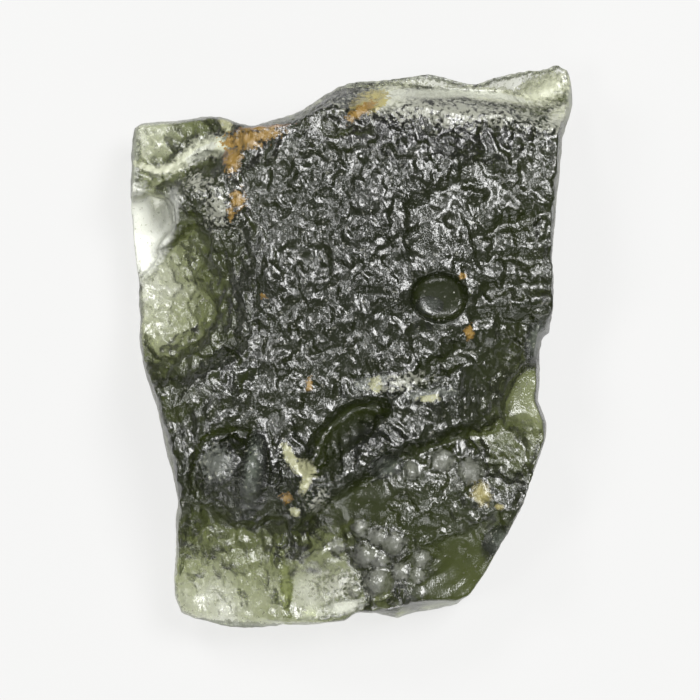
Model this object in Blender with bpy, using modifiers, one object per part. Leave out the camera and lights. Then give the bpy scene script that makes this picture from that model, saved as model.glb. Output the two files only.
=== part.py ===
"""A moldavite: one natural piece of green impact glass, a broken slab with an etched, pitted face.

The stone is drawn in millimetres. X runs across it, Y along it, and Z up from the surface on which
it lies. It starts as a slab cut to the stone's outline. The slab's two faces are then laid on the
relief of the real faces: ledges, furrows, lobes, hollows and one round bubble pit. Its sides are
broken walls. Shallow etched cups and domes go in last, square to the surface, on every side.
"""

import math

import bpy
import numpy as np
from mathutils import Vector, noise

# The real length of the stone, and its thickness in the middle before the waves, in millimetres
LENGTH = 35.4
THICKNESS = 9.2
MM = 0.001

# The grain of the mesh before it is thinned out, and its triangles after that
VOXEL = 0.30
TRIANGLES = 9400

# Height, in the drawing, of the surface on which the stone lies
REST_LEVEL = 0.25

# Plan outline, clockwise from the corner at low X and high Y
OUTLINE = [
    (-13.8, 13.7), (-13.3, 14.0), (-11.4, 14.2), (-9.8, 14.4), (-8.9, 14.5), (-8.2, 14.4), (-7.2, 14.1),
    (-6.3, 14.0), (-4.6, 14.5), (-3.2, 15.0), (-2.2, 15.6), (-0.8, 16.3), (0.1, 16.5), (2.9, 16.7),
    (4.7, 16.9), (5.6, 16.7), (6.6, 16.4), (7.6, 16.3), (8.7, 16.7), (11.2, 17.3), (11.4, 17.2),
    (12.9, 17.7), (13.5, 17.4), (13.8, 16.5), (13.9, 15.6), (13.8, 14.7), (13.3, 13.2), (13.2, 11.8),
    (12.9, 8.8), (12.6, 5.3), (12.7, 4.2), (12.6, 2.9), (12.4, 0.8), (11.9, 0.5), (11.8, -0.7),
    (11.7, -2.4), (11.6, -3.4), (12.2, -4.8), (12.1, -5.9), (11.4, -7.8), (10.8, -9.5), (10.0, -11.3),
    (9.2, -12.9), (8.5, -14.2), (7.4, -15.7), (6.6, -16.4), (4.8, -16.8), (3.8, -16.9), (2.9, -17.2),
    (1.4, -16.8), (0.2, -16.7), (-0.5, -17.2), (-2.2, -17.4), (-4.1, -17.5), (-5.7, -17.7), (-7.8, -17.6),
    (-9.8, -17.2), (-10.8, -16.7), (-11.2, -15.8), (-11.3, -14.6), (-11.2, -12.8), (-11.2, -10.8),
    (-11.1, -9.9), (-11.4, -8.5), (-11.9, -6.5), (-12.5, -3.5), (-12.9, -2.1), (-13.3, -0.5),
    (-13.4, 1.0), (-13.4, 3.8), (-13.7, 6.0), (-13.9, 8.8), (-13.9, 11.3),
]

# The crown of the upper face: how far it falls at half the width and at half the length
HALF_WIDTH, FALL_ACROSS = 14.0, 0.9
HALF_LENGTH, FALL_ALONG = 17.7, 0.8

# Uneven waves of the two faces, from broad to narrow: height, size, seed
UPPER_WAVES = [(0.45, 5.0, 3.1), (0.22, 2.2, 7.7)]
UNDER_WAVES = [(0.75, 6.0, 11.3), (0.35, 2.6, 5.9)]

# Broad swellings and sinkings of the upper face: centre, reach along and across, turn in degrees, rise
UPPER_LOBES = {
    "left lobes": ((-13.2, 3.6), (8.2, 6.6), 0, -3.0),
    "far left corner": ((-12.6, 13.6), (7.6, 5.2), 15, -3.2),
    "near left corner": ((-8.4, -15.6), (9.6, 8.2), 8, -3.4),
    "near facet": ((-1.1, -16.0), (4.4, 5.2), -15, -2.0),
    "far right corner": ((13.4, 16.4), (4.6, 3.4), 0, -0.9),
    "right shoulder": ((11.4, -3.6), (5.2, 6.2), 0, -2.6),
    "near right side": ((7.8, -15.6), (7.4, 4.6), 25, -0.9),
    "near bench": ((3.6, -12.4), (8.6, 5.4), 25, -0.9),
    "knob": ((-7.4, -7.8), (3.0, 3.2), 0, 0.8),
    "knob ridge": ((-6.1, -7.7), (1.0, 2.7), -8, 0.75),
    "upper swell": ((1.6, 7.4), (10.5, 7.5), 20, 0.7),
    "rib below the hollow": ((0.6, -7.0), (4.6, 1.4), 30, 0.45),
    "left swell": ((-8.8, -2.6), (3.8, 3.2), 20, 0.5),
}

# Small round domes on the near bench: centre and radius
DOMES = [
    ((0.4, -11.3), 0.55), ((1.5, -11.8), 0.62), ((2.5, -12.2), 0.75), ((0.7, -13.0), 0.80),
    ((1.7, -13.3), 0.55), ((2.9, -14.0), 0.60), ((1.5, -14.6), 0.95), ((4.2, -13.2), 0.60),
    ((4.0, -14.2), 0.55), ((0.0, -15.2), 0.50), ((5.5, -7.0), 0.75), ((7.2, -7.7), 0.85),
    ((3.6, -7.6), 0.60), ((-1.0, -12.4), 0.45),
]
DOME_RISE = 0.75

# Ledges: the face drops on the right of the path, over the lip, and comes back by a share over the reach
LEDGES = {
    "main step": {
        "path": [(-4.4, -11.7), (-3.3, -10.5), (-1.9, -9.2), (-0.5, -8.3), (1.1, -7.3), (2.4, -6.3),
                 (4.2, -5.7), (6.1, -4.9), (7.9, -4.5), (9.7, -3.9)],
        "drop": 1.9, "lip": 0.9, "reach": 5.4, "comes_back": 0.75,
    },
    "hollow": {
        "path": [(-3.6, -8.0), (-3.2, -6.9), (-2.6, -5.6), (-1.8, -4.5), (-0.6, -3.5), (0.6, -3.1),
                 (1.9, -3.2), (3.1, -4.0)],
        "drop": 1.5, "lip": 0.7, "reach": 3.0, "comes_back": 1.0,
    },
    "rim of the far edge": {
        "path": [(-1.6, 14.6), (-0.4, 14.4), (1.4, 14.5), (3.6, 14.7), (5.8, 14.4), (7.6, 14.0),
                 (9.2, 14.1), (11.1, 13.6), (14.0, 13.4)],
        "drop": -3.4, "lip": 1.6, "reach": 9.0, "comes_back": 0.0,
    },
    "left shelf": {
        "path": [(-10.8, 8.9), (-9.3, 8.2), (-8.6, 6.8), (-8.9, 5.2), (-9.4, 4.2), (-8.6, 3.2),
                 (-8.2, 1.9), (-9.0, 0.4), (-11.0, -1.0), (-14.5, -2.4)],
        "drop": 0.9, "lip": 0.6, "reach": 5.0, "comes_back": 0.3,
    },
    "broken left side": {
        "path": [(-15.0, 3.6), (-13.2, 4.3), (-12.2, 5.3), (-11.8, 6.3), (-10.9, 7.4), (-10.8, 8.8),
                 (-11.6, 9.6), (-13.0, 9.7), (-15.0, 9.2)],
        "drop": -3.6, "lip": 0.8, "reach": 9.0, "comes_back": 0.0,
    },
    "vein of the far left corner": {
        "path": [(-13.6, 11.3), (-12.1, 10.7), (-11.0, 11.3), (-9.4, 12.1), (-7.7, 12.4)],
        "drop": 0.8, "lip": 0.5, "reach": 2.2, "comes_back": 1.0,
    },
    "moat of the knob": {
        "path": [(-9.9, -10.0), (-10.2, -8.4), (-9.9, -6.6), (-8.9, -5.3), (-7.2, -4.8), (-5.6, -5.3)],
        "drop": 0.9, "lip": 0.5, "reach": 1.8, "comes_back": 1.0,
    },
    "near left cliff": {
        "path": [(-10.8, -9.5), (-8.7, -9.8), (-7.5, -10.8), (-6.0, -10.7), (-4.9, -10.4), (-3.6, -10.9)],
        "drop": 0.8, "lip": 0.5, "reach": 3.2, "comes_back": 0.8,
    },
    "near facet rib": {
        "path": [(-4.4, -17.2), (-4.2, -15.2), (-4.0, -13.2), (-3.2, -12.0)],
        "drop": 0.5, "lip": 0.5, "reach": 4.0, "comes_back": 0.4,
    },
    "near right scallop": {
        "path": [(0.8, -16.4), (1.8, -14.6), (2.8, -13.2), (4.6, -12.1), (6.6, -11.3), (8.2, -10.6),
                 (9.6, -9.9)],
        "drop": 0.8, "lip": 0.6, "reach": 4.2, "comes_back": 0.1,
    },
    "right scallop": {
        "path": [(12.2, -0.2), (10.8, -0.9), (9.7, -2.0), (9.1, -3.6), (9.2, -5.6)],
        "drop": -1.0, "lip": 0.5, "reach": 3.4, "comes_back": 0.7,
    },
}

# Furrows of the upper face: path, depth, width
FURROWS = {
    "left furrow 1": ([(-13.2, -0.1), (-10.8, 0.9), (-8.6, 1.7)], 0.75, 0.60),
    "left furrow 2": ([(-12.6, -0.9), (-10.6, -0.4), (-8.6, 0.8)], 0.55, 0.40),
    "left furrow 3": ([(-12.6, -2.0), (-9.8, -1.2), (-6.4, 0.9)], 0.60, 0.55),
    "left furrow 4": ([(-13.6, 4.2), (-10.8, 3.4), (-8.4, 4.6)], 0.40, 0.50),
    "upper furrow 1": ([(2.6, 7.8), (5.2, 9.3), (7.6, 10.8)], 0.28, 0.60),
    "upper furrow 2": ([(-3.6, 12.0), (-0.6, 12.6), (2.2, 12.4)], 0.25, 0.55),
    "right furrow 1": ([(7.0, 6.2), (9.4, 7.4), (13.0, 8.4)], 0.35, 0.45),
    "right furrow 2": ([(7.4, 5.0), (10.0, 5.4), (13.0, 5.2)], 0.30, 0.40),
    "right furrow 3": ([(7.2, 3.0), (9.8, 3.6), (13.0, 3.6)], 0.35, 0.40),
    "right furrow 4": ([(6.4, 1.8), (9.2, 1.5), (12.8, 0.9)], 0.35, 0.45),
    "middle furrow": ([(8.6, 0.4), (6.2, -0.6), (4.4, -2.0), (4.0, -3.0)], 0.60, 0.60),
    "pit trail": ([(4.4, 4.8), (3.8, 7.0), (4.8, 8.8)], 0.25, 0.70),
}

# The burst bubble, a little wider than long
PIT_CENTRE = (5.25, 3.0)
PIT_HALF_WIDTH, PIT_HALF_LENGTH = 1.72, 1.45
PIT_DEPTH = 1.2
PIT_FLATNESS = 3

# Where the underside lifts from the surface: centre, reach along and across, turn in degrees, rise
UNDER_LIFTS = {
    "left side": ((-13.8, 2.8), (10.5, 12.0), 0, 4.3),
    "far left corner": ((-13.0, 13.8), (9.6, 6.8), 15, 3.6),
    "near left corner": ((-9.6, -16.6), (11.0, 8.4), 8, 4.0),
    "near facet": ((-1.0, -16.4), (6.0, 7.0), 0, 2.7),
    "far side": ((5.6, 18.0), (13.0, 6.8), 6, 5.8),
    "right shoulder": ((12.8, -4.2), (7.4, 8.2), 0, 3.2),
    "near side": ((6.4, -17.4), (9.0, 4.6), 15, 1.2),
    "right side": ((14.0, 7.4), (4.2, 10.5), 0, 1.4),
}

# How far the underside's waves lie below the surface before they are cut off there
UNDER_DROP = 0.05

# Where the side is a broken wall that slopes outwards: centre, reach along and across, turn, width
WALLS = {
    "left wall": ((-12.0, -6.4), (1.8, 5.2), 8, 0.75),
    "far notch": ((-3.6, 15.2), (4.4, 1.9), 18, 1.3),
    "right wall": ((13.2, 9.0), (1.6, 8.0), 0, 0.5),
    "right notch": ((12.0, 0.2), (1.6, 2.2), 0, 0.3),
    "near right wall": ((4.2, -16.8), (3.6, 2.2), 10, 0.9),
    "near left wall": ((-7.6, -17.6), (4.6, 1.8), 0, 0.6),
}
WALL_WIDTH = 0.25
EDGE_THICKNESS = 0.5
WALL_UNEVENNESS, WALL_WAVE, WALL_SEED = 0.6, 3.0, 21.0

# Where the etched cups are shallow or missing: centre, reach along and across, turn, share taken away
SMOOTH_PLACES = {
    "lobe by the flake": ((-10.9, 4.6), (2.8, 3.8), 0, 0.3),
    "left troughs": ((-10.4, 0.6), (3.6, 2.0), 20, 0.7),
    "far left corner": ((-10.8, 12.9), (4.8, 3.2), 0, 0.2),
    "clear flake": ((-12.6, 6.8), (2.6, 4.0), 0, 1.0),
    "pit": ((5.2, 3.0), (2.4, 2.4), 0, 1.3),
    "upper patch": ((4.6, 7.8), (2.8, 3.2), 0, 0.4),
    "below the step": ((0.9, -9.2), (4.6, 2.2), 35, 1.0),
    "hollow": ((0.1, -4.9), (3.4, 2.2), 25, 0.7),
    "near facet": ((-1.8, -15.2), (3.6, 3.4), 0, 0.9),
    "near bench": ((1.8, -13.0), (3.0, 3.4), 0, 1.2),
    "near right side": ((6.4, -14.2), (4.6, 2.6), 25, 0.6),
    "right facets": ((10.6, -3.6), (2.8, 4.0), 0, 0.7),
    "far flange": ((6.6, 16.0), (9.6, 2.6), 0, 0.6),
    "near left corner": ((-8.4, -14.4), (5.4, 4.4), 0, 0.1),
    "knob ridge": ((-6.2, -7.8), (0.9, 3.0), -8, 0.6),
}

# Etched cups, from the largest to the smallest: cell size and depth
CUPS = [(2.5, 0.32), (1.4, 0.28)]
CUP_RADIUS = 0.75  # share of its cell
RIM_RADIUS = 0.5

# The etching is weaker at the outline, over a distance inside it, and never weaker than the least
ETCHED_AT_EDGE, EDGE_REACH, LEAST_ETCHED = 0.3, 1.2, 0.12


def smooth(t):
    """0 below 0, 1 above 1, and an even curve between."""
    t = np.clip(t, 0.0, 1.0)
    return t * t * (3 - 2 * t)


def curve_points(path, steps=6):
    """A smooth curve through the points of a path."""
    points = [Vector(p) for p in path]
    ends = [2 * points[0] - points[1], *points, 2 * points[-1] - points[-2]]
    curve = []
    for before, a, b, after in zip(ends, ends[1:], ends[2:], ends[3:]):
        for i in range(steps):
            t = i / steps
            pull = (b - before) * t + (2 * before - 5 * a + 4 * b - after) * t**2
            curve.append(a + (pull + (3 * a - before - 3 * b + after) * t**3) / 2)
    return np.array([*curve, points[-1]])


def beside(x, y, path):
    """Distance from a path, positive on its left, and the share of the path before the nearest point."""
    nearest = np.full(x.shape, np.inf)
    side = np.ones(x.shape)
    share = np.zeros(x.shape)
    for i, (a, b) in enumerate(zip(path, path[1:])):
        along = b - a
        dx, dy = x - a[0], y - a[1]
        t = np.clip((dx * along[0] + dy * along[1]) / (along @ along), 0, 1)
        distance = np.hypot(dx - t * along[0], dy - t * along[1])
        closer = distance < nearest
        nearest = np.where(closer, distance, nearest)
        side = np.where(closer, np.sign(along[0] * dy - along[1] * dx), side)
        share = np.where(closer, (i + t) / (len(path) - 1), share)
    return nearest * side, share


def inside_outline(x, y):
    """Distance to the outline in plan."""
    return np.abs(beside(x, y, np.array([*OUTLINE, OUTLINE[0]]))[0])


def lobe(x, y, centre, reach, turn):
    """1 at the centre of an oval, and 0 at its reach."""
    angle = math.radians(turn)
    dx, dy = x - centre[0], y - centre[1]
    u = (dx * math.cos(angle) + dy * math.sin(angle)) / reach[0]
    v = (dy * math.cos(angle) - dx * math.sin(angle)) / reach[1]
    return np.clip(1 - u * u - v * v, 0, None) ** 1.5


def lobes(x, y, named):
    """The sum of several lobes, each times its own height or share."""
    return sum(height * lobe(x, y, centre, reach, turn) for centre, reach, turn, height in named.values())


def ledge(x, y, path, drop, lip, reach, comes_back):
    """Height of a ledge: a negative drop lowers the left of the path in place of the right."""
    offset, share = beside(x, y, curve_points(path))
    out = offset * -math.copysign(1, drop)
    ends = smooth(share * 6) * smooth((1 - share) * 6) if comes_back else 1.0
    return -abs(drop) * ends * smooth(out / lip) * (1 - comes_back * smooth(out / reach))


def furrow(x, y, path, depth, width):
    """Height of a rounded groove that fades out at both ends."""
    offset, share = beside(x, y, curve_points(path))
    return -depth * smooth(share * 4) * smooth((1 - share) * 4) * np.exp(-((offset / width) ** 2))


def bubble_pit(x, y):
    """Height of the burst bubble: a round hollow with a crisp rim."""
    out = np.hypot((x - PIT_CENTRE[0]) / PIT_HALF_WIDTH, (y - PIT_CENTRE[1]) / PIT_HALF_LENGTH)
    return -PIT_DEPTH * np.sqrt(np.clip(1 - out**PIT_FLATNESS, 0, 1))


def domes(x, y):
    """Height of the small round domes of the near bench."""
    height = np.zeros(x.shape)
    for centre, radius in DOMES:
        out = np.hypot(x - centre[0], y - centre[1]) / radius
        height = np.maximum(height, DOME_RISE * radius * np.clip(1 - out**2, 0, 1))
    return height


def waves(x, y, size, seed):
    """Even random height, from -1 to 1, with hills about as wide as the size."""
    return np.array([noise.noise(Vector((a / size, b / size, seed))) for a, b in zip(x, y)])


def all_waves(x, y, table):
    """The sum of several waves, each times its own height."""
    return sum(height * waves(x, y, size, seed) for height, size, seed in table)


def rounding(inside, radius):
    """How far a face falls at a distance inside the outline, where its rim is a quarter circle."""
    left = np.clip(1 - inside / radius, 0, 1)
    return radius * (1 - np.sqrt(1 - left**2))


def upper_face(x, y):
    """Height of the upper face above the surface on which the stone lies."""
    height = THICKNESS - FALL_ACROSS * (x / HALF_WIDTH) ** 2 - FALL_ALONG * (y / HALF_LENGTH) ** 2
    height += all_waves(x, y, UPPER_WAVES)
    height += lobes(x, y, UPPER_LOBES) + domes(x, y) + bubble_pit(x, y)
    for shape in LEDGES.values():
        height += ledge(x, y, **shape)
    for path, depth, width in FURROWS.values():
        height += furrow(x, y, path, depth, width)
    return height


def under_face(x, y):
    """Height of the underside, which lies flat on the surface at its lowest places."""
    return np.clip(all_waves(x, y, UNDER_WAVES) + lobes(x, y, UNDER_LIFTS) - UNDER_DROP, 0, None)


def two_faces(x, y):
    """Heights of the upper face and of the underside, with the broken walls at the outline."""
    inside = inside_outline(x, y)
    under = under_face(x, y) + rounding(inside, RIM_RADIUS)
    upper = np.maximum(upper_face(x, y), under + EDGE_THICKNESS)
    width = WALL_WIDTH * (1 + WALL_UNEVENNESS * waves(x, y, WALL_WAVE, WALL_SEED)) + lobes(x, y, WALLS)
    wall = np.clip(1 - inside / width, 0, 1)
    return upper - wall * (upper - under - EDGE_THICKNESS), under


def vertex_array(mesh, name="co"):
    """Places or normals of a mesh's vertices, as an array with one row each."""
    flat = np.empty(len(mesh.vertices) * 3)
    mesh.vertices.foreach_get(name, flat)
    return flat.reshape(-1, 3)


def set_places(mesh, places):
    """Moves a mesh's vertices."""
    mesh.vertices.foreach_set("co", np.asarray(places, np.float32).ravel())
    mesh.update()


def with_modifier(stone, kind, **settings):
    """Puts a modifier on the stone and keeps the shape that it makes."""
    modifier = stone.modifiers.new(kind.title(), kind)
    for name, value in settings.items():
        setattr(modifier, name, value)
    shape = stone.evaluated_get(bpy.context.evaluated_depsgraph_get())
    made = bpy.data.meshes.new_from_object(shape)
    stone.modifiers.remove(modifier)
    stone.data = made
    made.update()


def outline_slab():
    """A slab with the stone's outline, in millimetres, as a mesh object."""
    curve = bpy.data.curves.new("outline", "CURVE")
    curve.dimensions = "2D"
    curve.fill_mode = "BOTH"
    curve.extrude = THICKNESS / 2
    spline = curve.splines.new("POLY")
    spline.points.add(len(OUTLINE) - 1)
    for point, (x, y) in zip(spline.points, OUTLINE):
        point.co = (x, y, 0, 1)
    spline.use_cyclic_u = True
    outline = bpy.data.objects.new("outline", curve)
    bpy.context.scene.collection.objects.link(outline)
    shape = outline.evaluated_get(bpy.context.evaluated_depsgraph_get())
    slab = bpy.data.objects.new("moldavite", bpy.data.meshes.new_from_object(shape))
    bpy.data.objects.remove(outline)
    return slab


def lay_relief(stone):
    """Stretches the slab between the two faces of the stone."""
    places = vertex_array(stone.data)
    x, y, z = places.T
    upper, under = two_faces(x, y)
    share = np.clip(z / THICKNESS + 0.5, 0, 1)
    places[:, 2] = under + share * (upper - under)
    set_places(stone.data, places)


def etched_share(x, y):
    """How deeply the glass is etched: 1 on most of the stone, and little on smooth places and walls."""
    inwards = smooth(inside_outline(x, y) / EDGE_REACH)
    near_edge = ETCHED_AT_EDGE + (1 - ETCHED_AT_EDGE) * inwards
    return near_edge * np.clip(1 - lobes(x, y, SMOOTH_PLACES), LEAST_ETCHED, 1)


def etch_cups(stone, size, depth, seed):
    """Presses cups that meet in sharp ridges into the whole surface, square to it."""
    places, normals = vertex_array(stone.data), vertex_array(stone.data, "normal")
    cells = [noise.voronoi(Vector(p) / size + Vector((seed, 0, 0)))[0][0] for p in places]
    press = depth * (1 - np.clip(np.array(cells) / CUP_RADIUS, 0, 1) ** 2)
    press *= etched_share(places[:, 0], places[:, 1])
    set_places(stone.data, places - normals * press[:, None])


def settle(stone):
    """Flattens what the stone lies on, and scales it to its length over the origin, in metres."""
    places = vertex_array(stone.data)
    places[:, 2] = np.clip(places[:, 2] - REST_LEVEL, 0, None)
    places *= LENGTH / np.ptp(places[:, 1]) * MM
    low, high = places.min(axis=0), places.max(axis=0)
    places[:, :2] -= (low[:2] + high[:2]) / 2
    set_places(stone.data, places)


def glass_material():
    """Bottle-green glass, clear where it is thin and nearly black where it is thick."""
    material = bpy.data.materials.new("moldavite_glass")
    material.use_nodes = True
    shader = material.node_tree.nodes["Principled BSDF"]
    shader.inputs["Base Color"].default_value = (0.09, 0.12, 0.04, 1)
    shader.inputs["Roughness"].default_value = 0.2
    shader.inputs["Metallic"].default_value = 0.0
    shader.inputs["IOR"].default_value = 1.49
    return material


def main():
    for old in list(bpy.data.objects):
        bpy.data.objects.remove(old)
    collection = bpy.data.collections.new("moldavite")
    bpy.context.scene.collection.children.link(collection)
    stone = outline_slab()
    collection.objects.link(stone)
    with_modifier(stone, "REMESH", mode="VOXEL", voxel_size=VOXEL)
    lay_relief(stone)
    with_modifier(stone, "REMESH", mode="VOXEL", voxel_size=VOXEL)
    for seed, (size, depth) in enumerate(CUPS):
        etch_cups(stone, size, depth, seed)
    with_modifier(stone, "DECIMATE", ratio=TRIANGLES / (2 * len(stone.data.polygons)))
    settle(stone)
    stone.data.materials.append(glass_material())


main()
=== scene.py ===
"""The look of the moldavite: its finely etched face and its green glass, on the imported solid's box.

The shape is drawn in millimetres, as the solid is, and then placed on the solid's own box. X runs
across the stone, Y along it and Z up from the surface on which it lies.
"""

import math

import bpy
import numpy as np
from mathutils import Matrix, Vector, noise


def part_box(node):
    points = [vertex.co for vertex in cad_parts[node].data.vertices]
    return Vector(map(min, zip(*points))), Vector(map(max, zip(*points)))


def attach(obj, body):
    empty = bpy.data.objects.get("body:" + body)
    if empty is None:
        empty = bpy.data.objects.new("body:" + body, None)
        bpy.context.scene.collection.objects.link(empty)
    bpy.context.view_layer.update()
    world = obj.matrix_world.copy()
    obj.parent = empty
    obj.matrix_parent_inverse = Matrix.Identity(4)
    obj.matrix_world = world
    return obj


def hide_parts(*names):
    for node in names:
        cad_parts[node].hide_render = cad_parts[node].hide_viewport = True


# The stone's thickness and the grain of its first mesh, in millimetres, and how many triangles are kept
THICKNESS = 9.2
VOXEL = 0.14
TRIANGLES = 195000
MM = 0.001

# Plan outline, clockwise from the corner at low X and high Y
OUTLINE = [
    (-13.8, 13.7), (-13.3, 14.0), (-11.4, 14.2), (-9.8, 14.4), (-8.9, 14.5), (-8.2, 14.4), (-7.2, 14.1),
    (-6.3, 14.0), (-4.6, 14.5), (-3.2, 15.0), (-2.2, 15.6), (-0.8, 16.3), (0.1, 16.5), (2.9, 16.7),
    (4.7, 16.9), (5.6, 16.7), (6.6, 16.4), (7.6, 16.3), (8.7, 16.7), (11.2, 17.3), (11.4, 17.2),
    (12.9, 17.7), (13.5, 17.4), (13.8, 16.5), (13.9, 15.6), (13.8, 14.7), (13.3, 13.2), (13.2, 11.8),
    (12.9, 8.8), (12.6, 5.3), (12.7, 4.2), (12.6, 2.9), (12.4, 0.8), (11.9, 0.5), (11.8, -0.7),
    (11.7, -2.4), (11.6, -3.4), (12.2, -4.8), (12.1, -5.9), (11.4, -7.8), (10.8, -9.5), (10.0, -11.3),
    (9.2, -12.9), (8.5, -14.2), (7.4, -15.7), (6.6, -16.4), (4.8, -16.8), (3.8, -16.9), (2.9, -17.2),
    (1.4, -16.8), (0.2, -16.7), (-0.5, -17.2), (-2.2, -17.4), (-4.1, -17.5), (-5.7, -17.7), (-7.8, -17.6),
    (-9.8, -17.2), (-10.8, -16.7), (-11.2, -15.8), (-11.3, -14.6), (-11.2, -12.8), (-11.2, -10.8),
    (-11.1, -9.9), (-11.4, -8.5), (-11.9, -6.5), (-12.5, -3.5), (-12.9, -2.1), (-13.3, -0.5),
    (-13.4, 1.0), (-13.4, 3.8), (-13.7, 6.0), (-13.9, 8.8), (-13.9, 11.3),
]

# The crown of the upper face: how far it falls at half the width and at half the length
HALF_WIDTH, FALL_ACROSS = 14.0, 0.9
HALF_LENGTH, FALL_ALONG = 17.7, 0.8

# Uneven waves of the two faces, from broad to narrow: height, size, seed
UPPER_WAVES = [(0.45, 5.0, 3.1), (0.22, 2.2, 7.7)]
UNDER_WAVES = [(0.75, 6.0, 11.3), (0.35, 2.6, 5.9)]

# How fast an oval place fades from its centre to its reach
LOBE_POWER = 1.5

# Broad swellings and sinkings of the upper face: centre, reach along and across, turn in degrees, rise
UPPER_LOBES = {
    "left lobes": ((-13.2, 3.6), (8.2, 6.6), 0, -3.0),
    "far left corner": ((-12.6, 13.6), (7.6, 5.2), 15, -3.2),
    "near left corner": ((-8.4, -15.6), (9.6, 8.2), 8, -3.4),
    "near facet": ((-0.6, -15.0), (4.8, 5.8), -15, -2.0),
    "far right corner": ((13.4, 16.4), (4.6, 3.4), 0, -0.9),
    "right shoulder": ((11.4, -3.6), (5.2, 6.2), 0, -2.6),
    "near right side": ((9.0, -15.0), (6.6, 4.6), 25, -2.0),
    "near bench": ((3.6, -12.4), (8.6, 5.4), 25, -0.9),
    "knob": ((-7.4, -7.8), (3.0, 3.2), 0, 0.8),
    "knob ridge": ((-6.1, -7.7), (1.0, 2.7), -8, 0.75),
    "upper swell": ((1.6, 7.4), (10.5, 7.5), 20, 0.7),
    "rib below the hollow": ((0.6, -7.0), (4.6, 1.4), 30, 0.45),
    "left swell": ((-8.8, -2.6), (3.8, 3.2), 20, 0.5),
}

# Small round domes on the near bench: centre and radius. The rise is a share of the radius
DOMES = [
    ((0.4, -11.3), 0.55), ((1.5, -11.8), 0.62), ((2.5, -12.2), 0.75), ((0.7, -13.0), 0.80),
    ((1.7, -13.3), 0.55), ((2.9, -14.0), 0.60), ((1.5, -14.6), 0.95), ((4.2, -13.2), 0.60),
    ((4.0, -14.2), 0.55), ((0.0, -15.2), 0.50), ((5.5, -7.0), 0.75), ((7.2, -7.7), 0.85),
    ((3.6, -7.6), 0.60), ((-1.0, -12.4), 0.45),
]
DOME_RISE = 0.75

# A ledge that comes back, and a furrow, fade in and out over one part in so many of their paths
LEDGE_TAPER, FURROW_TAPER = 6, 4

# Ledges: the face drops on the right of the path, over the lip, and comes back by a share over the reach
LEDGES = {
    "main step": {
        "path": [(-4.4, -11.7), (-3.3, -10.5), (-1.9, -9.2), (-0.5, -8.3), (1.1, -7.3), (2.4, -6.3),
                 (4.2, -5.7), (6.1, -4.9), (7.9, -4.5), (9.7, -3.9)],
        "drop": 1.9, "lip": 0.9, "reach": 5.4, "comes_back": 0.75,
    },
    "hollow": {
        "path": [(-3.6, -8.0), (-3.2, -6.9), (-2.6, -5.6), (-1.8, -4.5), (-0.6, -3.5), (0.6, -3.1),
                 (1.9, -3.2), (3.1, -4.0)],
        "drop": 1.5, "lip": 0.7, "reach": 3.0, "comes_back": 1.0,
    },
    "rim of the far edge": {
        "path": [(-1.6, 14.6), (-0.4, 14.4), (1.4, 14.5), (3.6, 14.7), (5.8, 14.4), (7.6, 14.0),
                 (9.2, 14.1), (11.1, 13.6), (14.0, 13.4)],
        "drop": -3.4, "lip": 2.3, "reach": 9.0, "comes_back": 0.0,
    },
    "left shelf": {
        "path": [(-10.8, 8.9), (-9.3, 8.2), (-8.6, 6.8), (-8.9, 5.2), (-9.4, 4.2), (-8.6, 3.2),
                 (-8.2, 1.9), (-9.0, 0.4), (-11.0, -1.0), (-14.5, -2.4)],
        "drop": 0.9, "lip": 0.6, "reach": 5.0, "comes_back": 0.3,
    },
    "broken left side": {
        "path": [(-15.0, 3.6), (-13.2, 4.3), (-12.2, 5.3), (-11.8, 6.3), (-10.9, 7.4), (-10.8, 8.8),
                 (-11.6, 9.6), (-13.0, 9.7), (-15.0, 9.2)],
        "drop": -3.6, "lip": 0.8, "reach": 9.0, "comes_back": 0.0,
    },
    "vein of the far left corner": {
        "path": [(-13.6, 11.3), (-12.1, 10.7), (-11.0, 11.3), (-9.4, 12.1), (-7.7, 12.4)],
        "drop": 0.8, "lip": 0.5, "reach": 2.2, "comes_back": 1.0,
    },
    "moat of the knob": {
        "path": [(-9.9, -10.0), (-10.2, -8.4), (-9.9, -6.6), (-8.9, -5.3), (-7.2, -4.8), (-5.6, -5.3)],
        "drop": 0.9, "lip": 0.5, "reach": 1.8, "comes_back": 1.0,
    },
    "near left cliff": {
        "path": [(-10.8, -9.5), (-8.7, -9.8), (-7.5, -10.8), (-6.0, -10.7), (-4.9, -10.4), (-3.6, -10.9)],
        "drop": 0.8, "lip": 0.5, "reach": 3.2, "comes_back": 0.8,
    },
    "near facet rib": {
        "path": [(-4.4, -17.2), (-4.2, -15.2), (-4.0, -13.2), (-3.2, -12.0)],
        "drop": 0.1, "lip": 0.5, "reach": 4.0, "comes_back": 0.4,
    },
    "near right scallop": {
        "path": [(0.8, -16.4), (1.8, -14.6), (2.8, -13.2), (4.6, -12.1), (6.6, -11.3), (8.2, -10.6),
                 (9.6, -9.9)],
        "drop": 0.8, "lip": 0.6, "reach": 4.2, "comes_back": 0.1,
    },
    "right scallop": {
        "path": [(12.2, -0.2), (10.8, -0.9), (9.7, -2.0), (9.1, -3.6), (9.2, -5.6)],
        "drop": -1.0, "lip": 0.5, "reach": 3.4, "comes_back": 0.7,
    },
}

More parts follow.
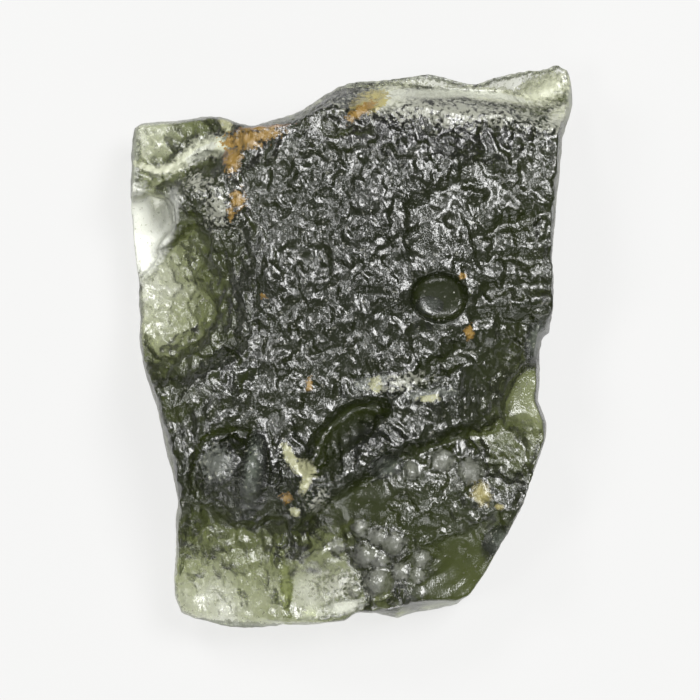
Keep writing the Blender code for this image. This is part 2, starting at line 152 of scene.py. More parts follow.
# Furrows, cracks and flow lines of the upper face: path, depth, width
FURROWS = {
    "left furrow 1": ([(-13.2, -0.1), (-10.8, 0.9), (-8.6, 1.7)], 0.45, 0.80),
    "left furrow 2": ([(-12.6, -0.9), (-10.6, -0.4), (-8.6, 0.8)], 0.35, 0.55),
    "left furrow 3": ([(-12.6, -2.0), (-9.8, -1.2), (-6.4, 0.9)], 0.60, 0.55),
    "left furrow 4": ([(-13.6, 4.2), (-10.8, 3.4), (-8.4, 4.6)], 0.40, 0.50),
    "upper furrow 1": ([(2.6, 7.8), (5.2, 9.3), (7.6, 10.8)], 0.28, 0.60),
    "upper furrow 2": ([(-3.6, 12.0), (-0.6, 12.6), (2.2, 12.4)], 0.25, 0.55),
    "right furrow 1": ([(7.0, 6.2), (9.4, 7.4), (13.0, 8.4)], 0.35, 0.45),
    "right furrow 2": ([(7.4, 5.0), (10.0, 5.4), (13.0, 5.2)], 0.30, 0.40),
    "right furrow 3": ([(7.2, 3.0), (9.8, 3.6), (13.0, 3.6)], 0.35, 0.40),
    "right furrow 4": ([(6.4, 1.8), (9.2, 1.5), (12.8, 0.9)], 0.35, 0.45),
    "middle furrow": ([(8.6, 0.4), (6.2, -0.6), (4.4, -2.0), (4.0, -3.0)], 0.60, 0.60),
    "flange crack 1": ([(9.8, 15.3), (10.5, 14.7), (11.3, 14.4), (12.4, 14.7)], 0.45, 0.22),
    "flange crack 2": ([(7.4, 15.0), (8.6, 15.4), (9.6, 15.3)], 0.25, 0.20),
    "flange crack 3": ([(11.6, 13.9), (12.4, 14.0), (13.3, 14.4)], 0.25, 0.20),
    "flow line 1": ([(3.6, -15.2), (5.6, -14.0), (7.2, -12.6), (8.6, -10.8)], 0.07, 0.20),
    "flow line 2": ([(4.4, -15.8), (6.4, -14.8), (7.8, -13.4), (9.2, -11.8)], 0.07, 0.16),
    "flow line 3": ([(5.4, -16.2), (7.0, -15.2), (8.2, -14.0), (9.4, -12.6)], 0.06, 0.18),
    "flow line 4": ([(3.8, -14.2), (5.2, -13.2), (7.0, -11.8), (7.8, -10.8)], 0.08, 0.22),
    "pit trail": ([(4.4, 4.8), (3.8, 7.0), (4.8, 8.8)], 0.25, 0.70),
}

# The burst bubble, a little wider than long. A higher flatness gives it a flatter floor and a steeper rim
PIT_CENTRE = (5.25, 3.0)
PIT_HALF_WIDTH, PIT_HALF_LENGTH = 1.72, 1.45
PIT_DEPTH = 1.1
PIT_FLATNESS = 8

# Where the underside lifts from the surface: centre, reach along and across, turn in degrees, rise
UNDER_LIFTS = {
    "left side": ((-13.8, 2.8), (10.5, 12.0), 0, 4.3),
    "far left corner": ((-13.0, 13.8), (9.6, 6.8), 15, 3.6),
    "near left corner": ((-9.6, -16.6), (11.0, 8.4), 8, 4.0),
    "near facet": ((-0.8, -14.8), (5.4, 6.6), 0, 3.0),
    "far side": ((5.6, 18.0), (13.0, 6.8), 6, 5.8),
    "right shoulder": ((12.8, -4.2), (7.4, 8.2), 0, 3.2),
    "near side": ((6.4, -17.4), (9.0, 4.6), 15, 0.3),
    "right side": ((14.0, 7.4), (4.2, 10.5), 0, 1.4),
}

# How far the underside's waves lie below the surface before they are cut off there
UNDER_DROP = 0.05

# Where the side is a broken wall that slopes outwards: centre, reach along and across, turn, width
WALLS = {
    "left wall": ((-12.0, -6.4), (1.8, 5.2), 8, 0.75),
    "far notch": ((-3.6, 15.2), (4.4, 1.9), 18, 1.3),
    "right wall": ((13.2, 9.0), (1.6, 8.0), 0, 0.5),
    "right notch": ((12.0, 0.2), (1.6, 2.2), 0, 0.3),
    "near right wall": ((4.2, -16.8), (3.6, 2.2), 10, 0.9),
    "near left wall": ((-7.6, -17.6), (4.6, 1.8), 0, 0.6),
}

# The wall's width elsewhere, and how uneven it is: share, size of the waves, seed
WALL_WIDTH = 0.25
WALL_UNEVENNESS, WALL_WAVE, WALL_SEED = 0.6, 3.0, 21.0

# The thinnest edge, and the rounding of the rim on its underside: radius, and share of a full rounding
EDGE_THICKNESS = 0.5
RIM_RADIUS, RIM_ROUNDNESS = 0.5, 0.5

# Where the etching is weak: centre, reach along and across, turn, share taken away or, below 0, given back
SMOOTH_PLACES = {
    "lobe by the flake": ((-10.9, 4.6), (2.8, 3.8), 0, -0.3),
    "left troughs": ((-10.4, 0.6), (3.6, 2.0), 20, 0.2),
    "far left corner": ((-10.8, 12.9), (4.8, 3.2), 0, 0.2),
    "clear flake": ((-12.6, 6.8), (2.6, 4.0), 0, 1.0),
    "pit": ((5.2, 3.0), (2.4, 2.4), 0, 1.3),
    "upper patch": ((4.6, 7.8), (2.8, 3.2), 0, 0.4),
    "below the step": ((0.9, -9.2), (4.6, 1.8), 35, 0.8),
    "hollow": ((0.1, -4.9), (3.4, 2.2), 25, 0.7),
    "near facet": ((-1.8, -15.2), (3.6, 3.4), 0, 0.9),
    "near bench": ((1.8, -13.2), (2.8, 3.0), 0, 1.0),
    "near right side": ((6.4, -14.4), (5.2, 2.8), 25, 1.2),
    "right facets": ((10.6, -3.6), (2.8, 4.0), 0, 0.7),
    "far flange": ((6.6, 16.0), (9.6, 2.6), 0, 0.6),
    "near left corner": ((-8.4, -14.4), (5.4, 4.4), 0, 0.1),
    "knob ridge": ((-6.2, -7.8), (0.9, 3.0), -8, 0.6),
}

# Etched cups, from the largest to the smallest: cell size and depth. The radius is a share of the cell
CUPS = [(2.5, 0.15), (1.4, 0.07)]
CUP_RADIUS = 0.75

# The etching is weaker at the outline, over a distance inside it, and never weaker than the least
ETCHED_AT_EDGE, EDGE_REACH, LEAST_ETCHED = 0.3, 1.2, 0.12


def smooth(t):
    """0 below 0, 1 above 1, and an even curve between."""
    t = np.clip(t, 0.0, 1.0)
    return t * t * (3 - 2 * t)


def curve_points(path, steps=6):
    """A smooth curve through the points of a path."""
    points = [Vector(p) for p in path]
    ends = [2 * points[0] - points[1], *points, 2 * points[-1] - points[-2]]
    curve = []
    for before, a, b, after in zip(ends, ends[1:], ends[2:], ends[3:]):
        for i in range(steps):
            t = i / steps
            pull = (b - before) * t + (2 * before - 5 * a + 4 * b - after) * t**2
            curve.append(a + (pull + (3 * a - before - 3 * b + after) * t**3) / 2)
    return np.array([*curve, points[-1]])


def beside(x, y, path):
    """Distance from a path, positive on its left, and the share of the path before the nearest point."""
    nearest = np.full(x.shape, np.inf)
    side = np.ones(x.shape)
    share = np.zeros(x.shape)
    for i, (a, b) in enumerate(zip(path, path[1:])):
        along = b - a
        dx, dy = x - a[0], y - a[1]
        t = np.clip((dx * along[0] + dy * along[1]) / (along @ along), 0, 1)
        distance = np.hypot(dx - t * along[0], dy - t * along[1])
        closer = distance < nearest
        nearest = np.where(closer, distance, nearest)
        side = np.where(closer, np.sign(along[0] * dy - along[1] * dx), side)
        share = np.where(closer, (i + t) / (len(path) - 1), share)
    return nearest * side, share


def inside_outline(x, y):
    """Distance to the outline in plan."""
    return np.abs(beside(x, y, np.array([*OUTLINE, OUTLINE[0]]))[0])


def in_oval(x, y, centre, reach, turn):
    """Place along and across a turned oval, each as a share of its reach."""
    angle = math.radians(turn)
    dx, dy = x - centre[0], y - centre[1]
    along = (dx * math.cos(angle) + dy * math.sin(angle)) / reach[0]
    across = (dy * math.cos(angle) - dx * math.sin(angle)) / reach[1]
    return along, across


def lobe(x, y, centre, reach, turn):
    """1 at the centre of an oval, and 0 at its reach."""
    along, across = in_oval(x, y, centre, reach, turn)
    return np.clip(1 - along * along - across * across, 0, None) ** LOBE_POWER


def lobes(x, y, named):
    """The sum of several lobes, each times its own height or share."""
    return sum(height * lobe(x, y, centre, reach, turn) for centre, reach, turn, height in named.values())


def ledge(x, y, path, drop, lip, reach, comes_back):
    """Height of a ledge: a negative drop lowers the left of the path in place of the right."""
    offset, share = beside(x, y, curve_points(path))
    out = offset * -math.copysign(1, drop)
    ends = smooth(share * LEDGE_TAPER) * smooth((1 - share) * LEDGE_TAPER) if comes_back else 1.0
    return -abs(drop) * ends * smooth(out / lip) * (1 - comes_back * smooth(out / reach))


def furrow(x, y, path, depth, width):
    """Height of a rounded groove that fades out at both ends."""
    offset, share = beside(x, y, curve_points(path))
    ends = smooth(share * FURROW_TAPER) * smooth((1 - share) * FURROW_TAPER)
    return -depth * ends * np.exp(-((offset / width) ** 2))


def bubble_pit(x, y):
    """Height of the burst bubble: a round hollow with a crisp rim."""
    out = np.hypot((x - PIT_CENTRE[0]) / PIT_HALF_WIDTH, (y - PIT_CENTRE[1]) / PIT_HALF_LENGTH)
    return -PIT_DEPTH * np.sqrt(np.clip(1 - out**PIT_FLATNESS, 0, 1))


def domes(x, y):
    """Height of the small round domes of the near bench."""
    height = np.zeros(x.shape)
    for centre, radius in DOMES:
        out = np.hypot(x - centre[0], y - centre[1]) / radius
        height = np.maximum(height, DOME_RISE * radius * np.clip(1 - out**2, 0, 1))
    return height


def waves(x, y, size, seed):
    """Even random height, from -1 to 1, with hills about as wide as the size."""
    return np.array([noise.noise(Vector((a / size, b / size, seed))) for a, b in zip(x, y)])


def all_waves(x, y, table):
    """The sum of several waves, each times its own height."""
    return sum(height * waves(x, y, size, seed) for height, size, seed in table)


def rounding(inside, radius):
    """How far a face falls at a distance inside the outline, where its rim is a quarter circle."""
    left = np.clip(1 - inside / radius, 0, 1)
    return radius * (1 - np.sqrt(1 - left**2))


def upper_face(x, y):
    """Height of the upper face above the surface on which the stone lies."""
    height = THICKNESS - FALL_ACROSS * (x / HALF_WIDTH) ** 2 - FALL_ALONG * (y / HALF_LENGTH) ** 2
    height += all_waves(x, y, UPPER_WAVES)
    height += lobes(x, y, UPPER_LOBES) + domes(x, y) + bubble_pit(x, y)
    for shape in LEDGES.values():
        height += ledge(x, y, **shape)
    for path, depth, width in FURROWS.values():
        height += furrow(x, y, path, depth, width)
    return height


def under_face(x, y):
    """Height of the underside, which lies flat on the surface at its lowest places."""
    return np.clip(all_waves(x, y, UNDER_WAVES) + lobes(x, y, UNDER_LIFTS) - UNDER_DROP, 0, None)


def two_faces(x, y):
    """Heights of the upper face and of the underside, with the broken walls at the outline."""
    inside = inside_outline(x, y)
    under = under_face(x, y)
    lowest = under + EDGE_THICKNESS
    upper = np.maximum(upper_face(x, y), lowest)
    width = WALL_WIDTH * (1 + WALL_UNEVENNESS * waves(x, y, WALL_WAVE, WALL_SEED)) + lobes(x, y, WALLS)
    wall = np.clip(1 - inside / width, 0, 1)
    return upper - wall * (upper - lowest), under + RIM_ROUNDNESS * rounding(inside, RIM_RADIUS)


def vertex_array(mesh, name="co"):
    """Places or normals of a mesh's vertices, as an array with one row each."""
    flat = np.empty(len(mesh.vertices) * 3)
    mesh.vertices.foreach_get(name, flat)
    return flat.reshape(-1, 3)


def set_places(mesh, places):
    """Moves a mesh's vertices."""
    mesh.vertices.foreach_set("co", np.asarray(places, np.float32).ravel())
    mesh.update()


def with_modifier(stone, kind, **settings):
    """Puts a modifier on the stone and keeps the shape that it makes."""
    modifier = stone.modifiers.new(kind.title(), kind)
    for name, value in settings.items():
        setattr(modifier, name, value)
    shape = stone.evaluated_get(bpy.context.evaluated_depsgraph_get())
    made = bpy.data.meshes.new_from_object(shape)
    stone.modifiers.remove(modifier)
    stone.data = made
    made.update()


def outline_slab():
    """A slab with the stone's outline, in millimetres, as a mesh object."""
    curve = bpy.data.curves.new("outline", "CURVE")
    curve.dimensions = "2D"
    curve.fill_mode = "BOTH"
    curve.extrude = THICKNESS / 2
    spline = curve.splines.new("POLY")
    spline.points.add(len(OUTLINE) - 1)
    for point, (x, y) in zip(spline.points, OUTLINE):
        point.co = (x, y, 0, 1)
    spline.use_cyclic_u = True
    outline = bpy.data.objects.new("outline", curve)
    bpy.context.scene.collection.objects.link(outline)
    shape = outline.evaluated_get(bpy.context.evaluated_depsgraph_get())
    slab = bpy.data.objects.new("moldavite", bpy.data.meshes.new_from_object(shape))
    bpy.data.objects.remove(outline)
    return slab


def lay_relief(stone):
    """Stretches the slab between the two faces of the stone."""
    places = vertex_array(stone.data)
    x, y, z = places.T
    upper, under = two_faces(x, y)
    share = np.clip(z / THICKNESS + 0.5, 0, 1)
    places[:, 2] = under + share * (upper - under)
    set_places(stone.data, places)


def etched_share(x, y):
    """How deeply the glass is etched: 1 on most of the stone, and little on smooth places and walls."""
    inwards = smooth(inside_outline(x, y) / EDGE_REACH)
    near_edge = ETCHED_AT_EDGE + (1 - ETCHED_AT_EDGE) * inwards
    return near_edge * np.clip(1 - lobes(x, y, SMOOTH_PLACES), LEAST_ETCHED, 1)


def etch_cups(stone, size, depth, seed):
    """Presses cups that meet in sharp ridges into the whole surface, square to it."""
    places, normals = vertex_array(stone.data), vertex_array(stone.data, "normal")
    cells = [noise.voronoi(Vector(p) / size + Vector((seed, 0, 0)))[0][0] for p in places]
    press = depth * (1 - np.clip(np.array(cells) / CUP_RADIUS, 0, 1) ** 2)
    press *= etched_share(places[:, 0], places[:, 1])
    set_places(stone.data, places - normals * press[:, None])


# Grains that only this mesh holds, long along one direction: size and height, in millimetres
GRAINS = [(1.1, 0.18), (0.6, 0.19), (0.34, 0.08)]
GRAIN_TURN, GRAIN_STRETCH = math.radians(20), 1.4

# Height, in the drawing, of the surface on which the stone lies
REST_LEVEL = 0.25

# Glass: the colour that it lets through, how much of the rest it takes away per metre, and its IOR
GLASS_COLOUR = (0.433, 0.478, 0.144, 1)
GLASS_DENSITY = 840.0
GLASS_IOR = 1.49

# Marks on the upper face, all as centre and reach in millimetres and turn in degrees.
# First, clay in the hollows
CLAY_MARKS = [
    ((-6.6, 12.7), (1.2, 0.5), 5), ((-5.5, 13.0), (1.0, 0.3), 8), ((-7.3, 11.4), (0.4, 0.8), -20),
    ((-7.1, 9.0), (0.4, 0.5), 0), ((-7.5, 8.2), (0.2, 0.4), 0), ((-5.5, 3.1), (0.18, 0.14), 0),
    ((-2.7, -2.3), (0.16, 0.36), 0), ((-4.1, -9.3), (0.35, 0.3), 0), ((6.7, 4.3), (0.22, 0.16), 0),
    ((0.4, 14.4), (0.9, 0.25), 35), ((7.1, 0.9), (0.25, 0.4), 0),
]

# Yellowish stains of the near right side and of the far edge
YELLOW_MARKS = [
    ((7.9, -9.1), (0.45, 0.55), 20), ((9.0, -9.9), (0.2, 0.16), 0), ((0.9, 15.0), (0.9, 0.5), 30),
]

# Cream veins of the far left corner and of the far flange
CREAM_MARKS = [
    ((-12.5, 11.0), (1.0, 0.22), -20), ((-11.5, 11.0), (1.1, 0.32), 12), ((-10.2, 11.8), (1.2, 0.42), 35),
    ((-8.6, 12.4), (1.5, 0.6), 5), ((9.0, 15.5), (3.4, 0.4), -5), ((11.8, 16.0), (1.6, 0.7), 25),
    ((12.8, 14.4), (0.9, 0.5), 40), ((2.2, 15.4), (1.8, 0.8), 10),
]

# The whitest crushed glass
WHITE_MARKS = [
    ((4.8, 15.6), (2.6, 0.35), 2), ((8.6, 15.6), (2.0, 0.18), -8), ((-0.6, -16.2), (1.0, 0.35), 10),
    ((-9.4, 12.0), (0.8, 0.25), 30),
]

# The thin clear flake of the left side, painted pale: the glow of the lit floor through the thin glass
FLAKE_GLOW_SPOTS = [
    ((-12.1, 6.9), (0.8, 2.5), -24), ((-13.2, 7.4), (0.7, 2.4), 0), ((-11.4, 8.3), (0.5, 1.0), -30),
]

# Pale grey strips along parts of the outline
EDGE_MARKS = [
    ((-13.7, 8.0), (0.35, 6.4), 0), ((-12.5, -5.6), (0.45, 5.4), 9), ((-8.6, -17.5), (3.4, 0.3), -2),
    ((-10.8, 14.3), (3.0, 0.25), 3), ((13.8, 15.2), (0.4, 2.2), 5), ((13.2, 10.6), (0.3, 2.6), 3),
]

# Fresh chips
CHIP_MARKS = [
    ((-3.9, -6.7), (0.35, 0.9), 25), ((-3.0, -7.5), (0.75, 0.5), -35), ((-2.9, -8.3), (0.3, 0.8), -20),
    ((-3.6, -10.2), (0.35, 0.3), 0), ((1.4, -2.4), (0.4, 0.5), 20), ((4.7, -3.2), (0.7, 0.2), 5),
    ((-7.9, 14.0), (0.4, 0.8), 20),
]

# Whitish haze: below the flange, beside the clay, and on the rib of the near facet
HAZE_MARKS = [
    ((6.0, 14.5), (6.0, 0.8), -4), ((12.4, 13.7), (0.9, 0.5), 20), ((-8.3, 8.4), (0.8, 1.0), 0),
    ((-9.6, 10.0), (0.8, 0.5), 0), ((3.2, -2.2), (1.2, 0.4), 10), ((-2.2, -9.6), (0.7, 0.5), 30),
    ((-0.9, -14.9), (1.2, 0.7), 0),
]

# The yellowish rib of the near facet, and the pinkish edge of the clay
RIB_MARKS = [((-4.2, -14.8), (0.25, 2.0), 3)]
PINK_MARKS = [((-5.6, 13.45), (1.4, 0.18), 5), ((-7.5, 11.6), (0.45, 0.6), -20)]

# Places where the skin's fine relief is weaker, and how far their edges fade
SMOOTH_SKIN = [
    ((5.25, 3.0), (1.85, 1.6), 0), ((0.9, -9.2), (3.4, 1.3), 38), ((5.0, -7.0), (3.2, 0.6), 25),
    ((0.2, -5.0), (2.0, 1.0), 28), ((-2.0, -15.0), (2.4, 2.4), 0), ((-10.2, 0.6), (2.2, 0.8), 20),
    ((6.6, -14.6), (3.6, 2.0), 25),
]
SMOOTH_SKIN_FADE = 0.25

# Pale gritty rim: one narrow oval along each side of the outline, with its reach across in millimetres
RIM_WIDTH = 0.2
RIM_MARKS = [
    (tuple((Vector(a) + Vector(b)) / 2), ((Vector(b) - Vector(a)).length / 2, RIM_WIDTH),
     math.degrees(math.atan2(b[1] - a[1], b[0] - a[0])))
    for a, b in zip(OUTLINE, [*OUTLINE[1:], OUTLINE[0]])
]

# Painted highlight: a bright crinkled patch on the tops of the near bench's domes, over a share of their
# radius
DOME_HIGHLIGHT_SHARE = 0.85
PAINTED_DOME_HIGHLIGHTS = [(centre, (DOME_HIGHLIGHT_SHARE * radius, DOME_HIGHLIGHT_SHARE * radius), 0) for centre, radius in DOMES]

# Painted soft grey highlight on the knob's ridge and on small ridges around the hollow
PAINTED_RIDGE_HIGHLIGHTS = [
    ((-6.2, -7.6), (0.45, 1.9), -8), ((-8.4, -7.2), (1.0, 1.0), 0), ((2.2, -7.4), (0.6, 0.45), 10),
    ((9.4, -12.0), (0.7, 0.6), 0), ((11.4, 0.3), (0.5, 0.9), 0), ((1.2, -2.2), (1.4, 0.4), 15),
    ((4.6, -3.0), (1.6, 0.35), 5),
]

# Painted dull grey sheen on smooth places, and a rougher skin there
PAINTED_SHEEN_SPOTS = [
    ((-6.1, -7.9), (0.5, 2.0), -8), ((4.7, 2.5), (0.6, 0.4), 0), ((2.0, -7.4), (0.8, 0.5), 10),
    ((9.2, -12.1), (0.8, 0.7), 0), ((11.3, 0.2), (0.5, 0.9), 0),
]

# The marks by name: where they are, their colour, how opaque, how far each edge fades, and how gritty
MARKS = {
    # Painted highlight on the domes' tops
    "painted dome highlight": (PAINTED_DOME_HIGHLIGHTS, (0.38, 0.39, 0.34, 1), 0.22, 0.9, 0.35),
    # Painted soft grey highlight on the ridges
    "painted ridge highlight": (PAINTED_RIDGE_HIGHLIGHTS, (0.15, 0.16, 0.14, 1), 0.4, 0.8, 0.5),
    # Painted dull grey sheen, which also roughens the skin
    "sheen": (PAINTED_SHEEN_SPOTS, (0.10, 0.115, 0.09, 1), 0.15, 0.95, 0.1),
    "rim": (RIM_MARKS, (0.26, 0.27, 0.22, 1), 0.55, 0.9, 0.4),
    "edge": (EDGE_MARKS, (0.22, 0.23, 0.19, 1), 0.6, 0.9, 0.3),
    "cream": (CREAM_MARKS, (0.34, 0.35, 0.26, 1), 0.8, 0.9, 0.3),
    "white": (WHITE_MARKS, (0.36, 0.37, 0.31, 1), 0.7, 0.9, 0.2),
    # Painted glow of the lit floor through the thin flake
    "flake": (FLAKE_GLOW_SPOTS, (0.52, 0.53, 0.48, 1), 0.7, 0.6, 0.2),
    "chips": (CHIP_MARKS, (0.29, 0.29, 0.17, 1), 0.6, 0.5, 0.5),
    "haze": (HAZE_MARKS, (0.30, 0.305, 0.25, 1), 0.5, 1.0, 0.8),
    "rib": (RIB_MARKS, (0.26, 0.29, 0.12, 1), 0.25, 0.9, 0.4),
    "yellow": (YELLOW_MARKS, (0.24, 0.21, 0.08, 1), 0.6, 1.2, 0.2),
    "pink": (PINK_MARKS, (0.24, 0.16, 0.10, 1), 0.6, 0.8, 0.3),
    "clay": (CLAY_MARKS, (0.185, 0.11, 0.02, 1), 0.7, 0.9, 0.4),
}

# The grit that breaks the marks up: its size in millimetres, and the part of the noise that counts
GRIT_SIZE, GRIT_RANGE = 0.25, (0.3, 0.7)

# Where a mark goes from clear to opaque, and the small amount over which it takes on its colour
MARK_RANGE = (0.2, 0.65)
TINT_RANGE = (0.0, 0.12)

# How far a surface has to face up before it holds a mark: the upward part of its normal
UPWARD_RANGE = (0.05, 0.35)

# The skin's fine relief: sizes and depth in millimetres, and shares of the full strength
CRINKLE_SIZE, CRINKLE_DETAIL, CRINKLE_ROUGHNESS = 0.21, 1.5, 0.8
GRAIN_SIZE, GRAIN_SHARE = 0.12, 0.5
CALM_SIZE, CALM_DETAIL, CALM_RANGE, LEAST_STRENGTH = 1.6, 1.0, (0.4, 0.6), 0.55
SMOOTH_RANGE, SMOOTH_STRENGTH = (0.3, 0.8), 0.5
RELIEF_DEPTH = 0.042

# How rough the skin is where it is clean, where it has a sheen, and where a mark is fully opaque
CLEAN_ROUGHNESS, SHEEN_ROUGHNESS, MARK_ROUGHNESS = 0.28, 0.36, 0.6
SHEEN_RANGE = (0.2, 0.9)

# Small pale specks: size of their cells in millimetres, and where each fades, as shares of a cell
SPECK_CELL, SPECK_RANGE = 0.6, (0.10, 0.05)
SPECK_COLOUR, SPECK_OPACITY = (0.25, 0.25, 0.22, 1), 0.8

# The tint of glass without a mark
CLEAR = (1.0, 1.0, 1.0, 1)


def spread_marks(stone, name, spots, fade):
    """Stores, for each vertex, how much of a mark is there: 1 well inside an oval, and 0 well outside."""
    x, y, _ = vertex_array(stone.data).T
    amount = np.zeros(x.shape)
    for spot in spots:
        out = np.hypot(*in_oval(x, y, *spot))
        amount = np.maximum(amount, np.clip((1 + fade - out) / (2 * fade), 0, 1))
    layer = stone.data.attributes.new(name, "FLOAT", "POINT")
    layer.data.foreach_set("value", amount)


def raise_grains(stone, size, height, seed):
    """Raises uneven grains over the whole surface, square to it."""
    places, normals = vertex_array(stone.data), vertex_array(stone.data, "normal")
    x, y, z = places.T
    across = (x * math.cos(GRAIN_TURN) + y * math.sin(GRAIN_TURN)) * GRAIN_STRETCH
    along = y * math.cos(GRAIN_TURN) - x * math.sin(GRAIN_TURN)
    spots = np.stack([across, along, z + seed * size], axis=1) / size
    lift = height * np.array([noise.noise(Vector(spot)) for spot in spots])
    set_places(stone.data, places + normals * (lift * etched_share(x, y))[:, None])


def settle(stone, low, high):
    """Flattens what the stone lies on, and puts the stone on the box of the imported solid, in metres."""
    places = vertex_array(stone.data)
    places[:, 2] = np.clip(places[:, 2] - REST_LEVEL, 0, None)
    places *= (high.y - low.y) / np.ptp(places[:, 1])
    centre = (places.min(axis=0) + places.max(axis=0)) / 2
    places[:, 0] += (low.x + high.x) / 2 - centre[0]
    places[:, 1] += (low.y + high.y) / 2 - centre[1]
    set_places(stone.data, places)


# The colour sockets of a Mix node
COLOUR_A, COLOUR_B, COLOUR_OUT = 6, 7, 2


class Nodes:
    """Adds shader nodes to one material, and joins them."""

    def __init__(self, material):
        material.use_nodes = True
        self.tree = material.node_tree
        self.tree.nodes.clear()

    def put(self, socket, value):
        """Gives an input a value, or joins it to an output."""
        if isinstance(value, bpy.types.NodeSocket):
            self.tree.links.new(value, socket)
        else:
            socket.default_value = value

    def add(self, kind, inputs=(), **settings):
        """A new node, with its inputs as pairs of name and value."""
        node = self.tree.nodes.new("ShaderNode" + kind)
        for name, value in settings.items():
            setattr(node, name, value)
        for name, value in dict(inputs).items():
            self.put(node.inputs[name], value)
        return node

    def math(self, operation, *values):
        """The result of one operation on one or two values."""
        node = self.add("Math", operation=operation)
        for socket, value in zip(node.inputs, values):
            self.put(socket, value)
        return node.outputs[0]

    def noise(self, where, size, detail=3.0):
        """Even noise from 0 to 1, with patches about as wide as the size in millimetres."""
        inputs = {"Vector": where, "Scale": 1 / (size * MM), "Detail": detail}
        return self.add("TexNoise", inputs).outputs["Fac"]

    def ramp(self, value, start, end, low=0.0, high=1.0):
        """A value mapped from one range to another, and kept inside it."""
        names = ("Value", "From Min", "From Max", "To Min", "To Max")
        return self.add("MapRange", zip(names, (value, start, end, low, high))).outputs[0]

    def mix(self, share, a, b):
        """Colour a, or b where the share is 1."""
        node = self.add("Mix", data_type="RGBA")
        self.put(node.inputs["Factor"], share)
        self.put(node.inputs[COLOUR_A], a)
        self.put(node.inputs[COLOUR_B], b)
        return node.outputs[COLOUR_OUT]

    def stored(self, name):
        """A value that the mesh stores under a name."""
        return self.add("Attribute", attribute_name=name).outputs["Fac"]


def skin_bump(n, coords):
    """The fine relief of the skin, weaker in calm patches and on smooth skin."""
    turned = n.add("Mapping", {
        "Vector": coords, "Rotation": (0, 0, GRAIN_TURN), "Scale": (GRAIN_STRETCH, 1, 1),
    })
    crinkle = n.add("TexNoise", {
        "Vector": turned.outputs[0], "Scale": 1 / (CRINKLE_SIZE * MM), "Detail": CRINKLE_DETAIL,
        "Roughness": CRINKLE_ROUGHNESS,
    }, noise_type="RIDGED_MULTIFRACTAL").outputs["Fac"]
    grain = n.noise(coords, GRAIN_SIZE)
    height = n.math("ADD", crinkle, n.math("MULTIPLY", grain, GRAIN_SHARE))
    calm = n.ramp(n.noise(coords, CALM_SIZE, CALM_DETAIL), *CALM_RANGE, LEAST_STRENGTH, 1.0)
    smooth_skin = n.ramp(n.stored("smooth_skin"), *SMOOTH_RANGE, 1.0, SMOOTH_STRENGTH)
    strength = n.math("MULTIPLY", calm, smooth_skin)
    return n.add("Bump", {
        "Height": height, "Strength": strength, "Distance": RELIEF_DEPTH * MM,
    }).outputs[0]


def marked_skin(n, coords):
    """The colour of the skin, and how opaque it is: specks first, then each mark over the ones before,
    among them painted highlights, sheen and flake glow.
    """
    normal = n.add("NewGeometry").outputs["Normal"]
    up = n.ramp(n.add("SeparateXYZ", {0: normal}).outputs["Z"], *UPWARD_RANGE)
    cells = n.add("TexVoronoi", {"Vector": coords, "Scale": 1 / (SPECK_CELL * MM)}, feature="F1")
    speck = n.math("MULTIPLY", n.ramp(cells.outputs["Distance"], *SPECK_RANGE), up)
    colour = n.mix(n.ramp(speck, *TINT_RANGE), CLEAR, SPECK_COLOUR)
    opaque = n.math("MULTIPLY", speck, SPECK_OPACITY)
    grit = n.noise(coords, GRIT_SIZE)
    for name, (_, tint, opacity, _, roughest) in MARKS.items():
        amount = n.math("ADD", n.stored(name), n.ramp(grit, *GRIT_RANGE, -roughest, roughest / 2))
        mask = n.math("MULTIPLY", n.ramp(amount, *MARK_RANGE), up)
        colour = n.mix(n.ramp(mask, *TINT_RANGE), colour, tint)
        opaque = n.math("MAXIMUM", opaque, n.math("MULTIPLY", mask, opacity))
    return colour, opaque


def glass_material():
    """Bottle-green glass with a finely etched skin, clay in its hollows, pale edges, and painted
    highlights, sheen and flake glow.
    """
    material = bpy.data.materials.new("etched_glass")
    n = Nodes(material)
    coords = n.add("TexCoord").outputs["Object"]
    bump = skin_bump(n, coords)
    colour, opaque = marked_skin(n, coords)
    roughness = n.ramp(n.stored("sheen"), *SHEEN_RANGE, CLEAN_ROUGHNESS, SHEEN_ROUGHNESS)
    glass = n.add("BsdfPrincipled", {
        "Base Color": colour,
        "Roughness": n.math("MAXIMUM", roughness, n.math("MULTIPLY", opaque, MARK_ROUGHNESS)),
        "IOR": GLASS_IOR,
        "Transmission Weight": n.math("SUBTRACT", 1.0, opaque),
        "Normal": bump,
    })
    absorb = n.add("VolumeAbsorption", {"Color": GLASS_COLOUR, "Density": GLASS_DENSITY})
    n.add("OutputMaterial", {"Surface": glass.outputs[0], "Volume": absorb.outputs[0]})
    return material


def build_stone(low, high):
    """The stone as one closed mesh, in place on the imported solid."""
    stone = outline_slab()
    bpy.context.scene.collection.objects.link(stone)
    with_modifier(stone, "REMESH", mode="VOXEL", voxel_size=VOXEL)
    lay_relief(stone)
    with_modifier(stone, "REMESH", mode="VOXEL", voxel_size=VOXEL)
    for seed, (size, depth) in enumerate(CUPS):
        etch_cups(stone, size, depth, seed)
    for seed, (size, height) in enumerate(GRAINS):
        raise_grains(stone, size, height, seed)
    fine_triangles = 2 * len(stone.data.polygons)
    with_modifier(stone, "DECIMATE", ratio=min(1.0, TRIANGLES / fine_triangles))
    for name, (spots, _, _, fade, _) in MARKS.items():
        spread_marks(stone, name, spots, fade)
    spread_marks(stone, "smooth_skin", SMOOTH_SKIN, SMOOTH_SKIN_FADE)
    settle(stone, low, high)
    stone.name = "etched_stone"
    stone.data.shade_smooth()
    stone.data.materials.append(glass_material())
    return stone


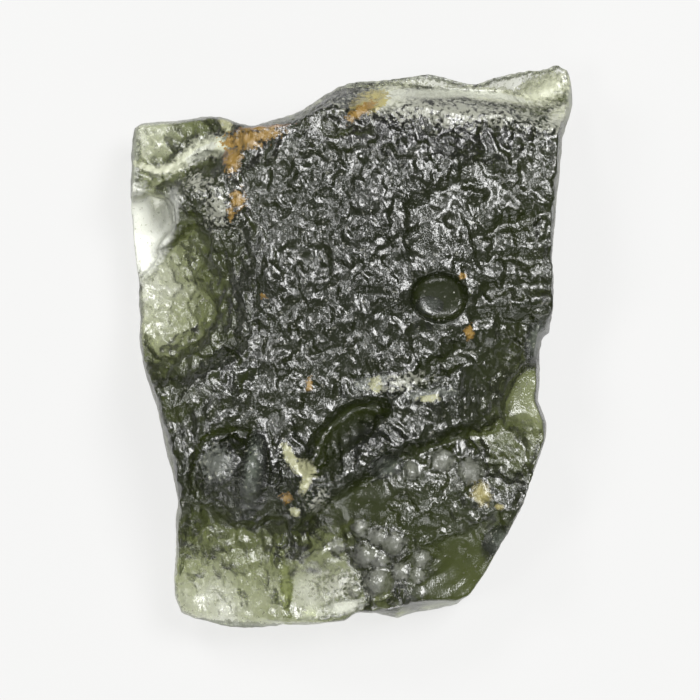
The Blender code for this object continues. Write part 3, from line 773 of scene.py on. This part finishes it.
# The lights: azimuth, elevation, size in metres and radiance, all at one distance from the stone
LIGHT_DISTANCE = 0.5
SOFTBOXES = {
    "softbox_far_right": (50, 62, 0.19, 39.0),
    "softbox_left": (-100, 54, 0.14, 24.0),
    "softbox_far_left": (-30, 46, 0.12, 34.0),
    "softbox_near": (175, 25, 0.25, 5.0),
}
WORLD_STRENGTH = 0.20
WHITE = (1, 1, 1, 1)

# The floor: its size and its gap below the stone in metres, and its own soft glow
FLOOR_SIZE = 3.0
FLOOR_GAP = 0.02 * MM
FLOOR_COLOUR, FLOOR_ROUGHNESS, FLOOR_SPECULAR = (0.062, 0.062, 0.062, 1), 0.9, 0.1
FLOOR_GLOW_COLOUR, FLOOR_GLOW = (1, 1, 0.99, 1), 0.75


def softbox(name, azimuth, elevation, size, radiance):
    """A square light that faces the stone. Azimuth 0 is over the far edge, and 90 over the right side."""
    a, e = math.radians(azimuth), math.radians(elevation)
    away = Vector((math.sin(a) * math.cos(e), math.cos(a) * math.cos(e), math.sin(e)))
    light = bpy.data.lights.new(name, "AREA")
    light.size = size
    light.energy = radiance * math.pi * size * size
    lamp = bpy.data.objects.new(name, light)
    lamp.location = away * LIGHT_DISTANCE
    lamp.rotation_euler = away.to_track_quat("Z", "Y").to_euler()
    bpy.context.scene.collection.objects.link(lamp)


def floor_material():
    """A pale surface that glows a little, as a lit light table does."""
    material = bpy.data.materials.new("floor_white")
    material.use_nodes = True
    inputs = material.node_tree.nodes["Principled BSDF"].inputs
    inputs["Base Color"].default_value = FLOOR_COLOUR
    inputs["Roughness"].default_value = FLOOR_ROUGHNESS
    inputs["Specular IOR Level"].default_value = FLOOR_SPECULAR
    inputs["Emission Color"].default_value = FLOOR_GLOW_COLOUR
    inputs["Emission Strength"].default_value = FLOOR_GLOW
    return material


def build_floor():
    """A wide floor just below the stone."""
    bpy.ops.mesh.primitive_plane_add(size=FLOOR_SIZE, location=(0, 0, -FLOOR_GAP))
    floor = bpy.context.object
    floor.name = "floor"
    floor.data.materials.append(floor_material())


def build_lights():
    """Soft studio light: an even dim surround and four square lights."""
    world = bpy.data.worlds.new("studio")
    bpy.context.scene.world = world
    world.use_nodes = True
    background = world.node_tree.nodes["Background"]
    background.inputs["Color"].default_value = WHITE
    background.inputs["Strength"].default_value = WORLD_STRENGTH
    for name, (azimuth, elevation, size, radiance) in SOFTBOXES.items():
        softbox(name, azimuth, elevation, size, radiance)


# The camera: a long lens straight above, as the photo has it, with lens and sensor in millimetres
LENS = 180.0
SENSOR = 36.0
CLIP_START = 0.01

# What the camera sees: the width and centre of its view, at a level halfway up the stone
VIEW_WIDTH = 43.75 * MM
VIEW_CENTRE = (-0.19 * MM, -0.22 * MM)
VIEW_LEVEL = 5.0 * MM


def build_camera():
    """A camera that looks straight down."""
    data = bpy.data.cameras.new("camera")
    data.lens = LENS
    data.sensor_width = SENSOR
    data.clip_start = CLIP_START
    camera = bpy.data.objects.new("camera", data)
    camera.location = (*VIEW_CENTRE, VIEW_LEVEL + VIEW_WIDTH * LENS / SENSOR)
    bpy.context.scene.collection.objects.link(camera)
    bpy.context.scene.camera = camera


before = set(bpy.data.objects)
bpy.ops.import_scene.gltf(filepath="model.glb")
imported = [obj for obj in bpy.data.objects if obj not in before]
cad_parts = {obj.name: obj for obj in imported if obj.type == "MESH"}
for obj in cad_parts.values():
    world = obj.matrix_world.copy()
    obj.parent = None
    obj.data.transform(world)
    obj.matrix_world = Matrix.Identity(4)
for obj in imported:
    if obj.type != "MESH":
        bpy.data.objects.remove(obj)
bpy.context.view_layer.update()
bpy.context.scene.view_settings.view_transform = "Standard"
stone = build_stone(*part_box("moldavite"))
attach(stone, "root")
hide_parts("moldavite")
build_camera()
build_floor()
build_lights()
